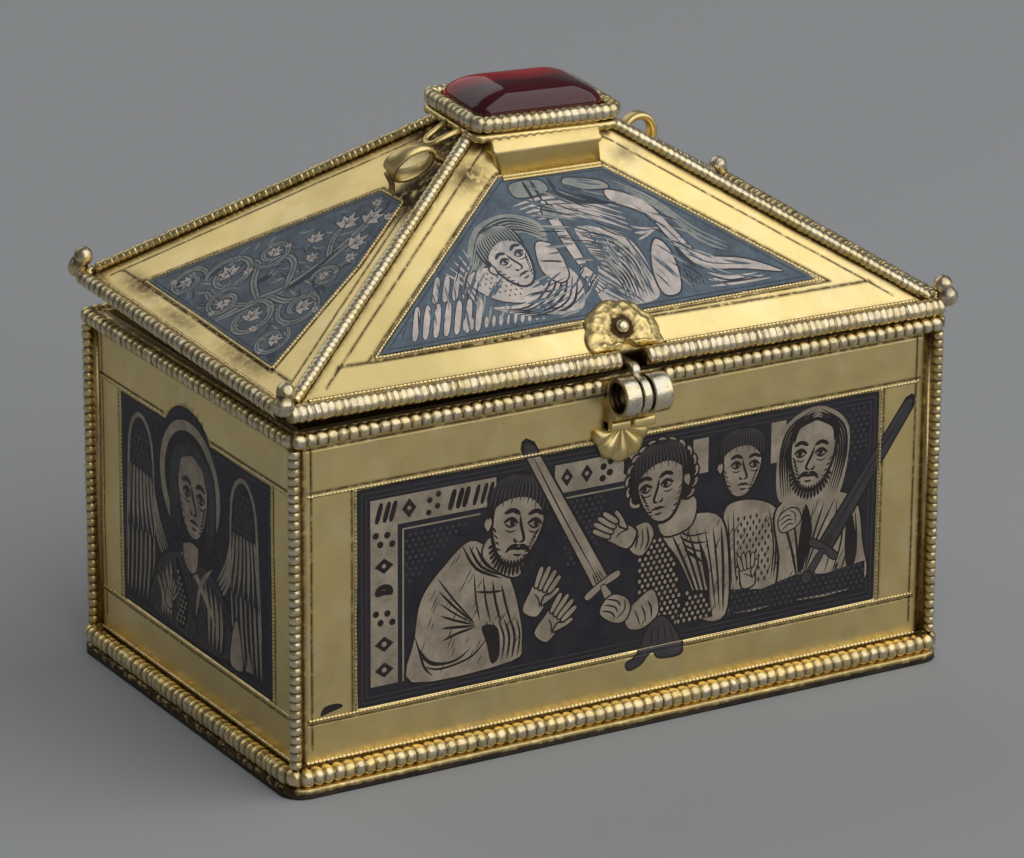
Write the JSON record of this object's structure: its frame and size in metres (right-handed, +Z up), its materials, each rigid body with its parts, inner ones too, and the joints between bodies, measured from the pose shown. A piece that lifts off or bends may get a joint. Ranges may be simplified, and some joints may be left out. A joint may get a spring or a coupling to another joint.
{
  "type": "reliquary casket",
  "caption": "Small gilt silver casket with a hipped lid hinged at the back, a front clasp, beaded wire edges, dark inlaid picture panels and a red glass stone on top.",
  "frame": {"origin": "middle of the flat underside", "axes": "+Z up, +X along the long side to the right as seen from the front, -Y towards the front with the clasp"},
  "size_m": [0.0709, 0.047, 0.0566],
  "materials": {
    "gilt_silver": "satin, rubbed",
    "worn_gilt": "worn gilding over silver, dark in the grooves",
    "worn_silver": "worn, soft shine",
    "niello": "smooth dark inlay with bright reserved drawing",
    "red_glass": "polished"
  },
  "bodies": {
    "box": {"base_plate": "worn_gilt", "front_wall": "gilt_silver", "front_niello": "niello", "right_wall": "gilt_silver", "right_niello": "niello", "back_wall": "gilt_silver", "back_niello": "niello", "left_wall": "gilt_silver", "left_niello": "niello", "base_beaded_wire": "worn_gilt", "rim_beaded_wire_right": "worn_gilt", "rim_beaded_wire_left": "worn_gilt", "corner_wire_front_right": "worn_gilt", "corner_wire_back_right": "worn_gilt", "corner_wire_back_left": "worn_gilt", "corner_wire_front_left": "worn_gilt", "clasp_leaf": "gilt_silver", "hinge_leaf": "gilt_silver", "hinge_pin": "worn_silver"},
    "lid": {"bezel_plate": "gilt_silver", "bezel_beaded_wire": "worn_gilt", "red_stone": "red_glass", "front_roof": "gilt_silver", "front_roof_niello": "niello", "clasp_rosette": "gilt_silver", "clasp_rivet": "worn_silver", "right_roof": "gilt_silver", "right_roof_niello": "niello", "right_loop": "worn_silver", "back_roof": "gilt_silver", "back_roof_niello": "niello", "hinge_rosette": "gilt_silver", "hinge_rivet": "worn_silver", "left_roof": "gilt_silver", "left_roof_niello": "niello", "left_loop": "worn_silver", "left_eyelet": "worn_silver", "eaves_wire_left": "worn_gilt", "eaves_wire_right": "worn_gilt", "eaves_wire_front_left": "worn_gilt", "eaves_wire_front_right": "worn_gilt", "eaves_wire_back_left": "worn_gilt", "eaves_wire_back_right": "worn_gilt", "hip_wire_front_right": "worn_gilt", "corner_knob_front_right": "worn_silver", "hip_wire_back_right": "worn_gilt", "corner_knob_back_right": "worn_silver", "hip_wire_back_left": "worn_gilt", "corner_knob_back_left": "worn_silver", "hip_wire_front_left": "worn_gilt", "corner_knob_front_left": "worn_silver", "setting_neck": "gilt_silver", "clasp_strap": "worn_silver", "hinge_strap": "worn_silver"}
  },
  "joints": [
    {"name": "lid_hinge", "type": "hinge", "parent": "box", "child": "lid", "pos_m": [0, 0.02163, 0.03205], "axis": [-1, 0, 0], "range_deg": [0, 105]}
  ]
}
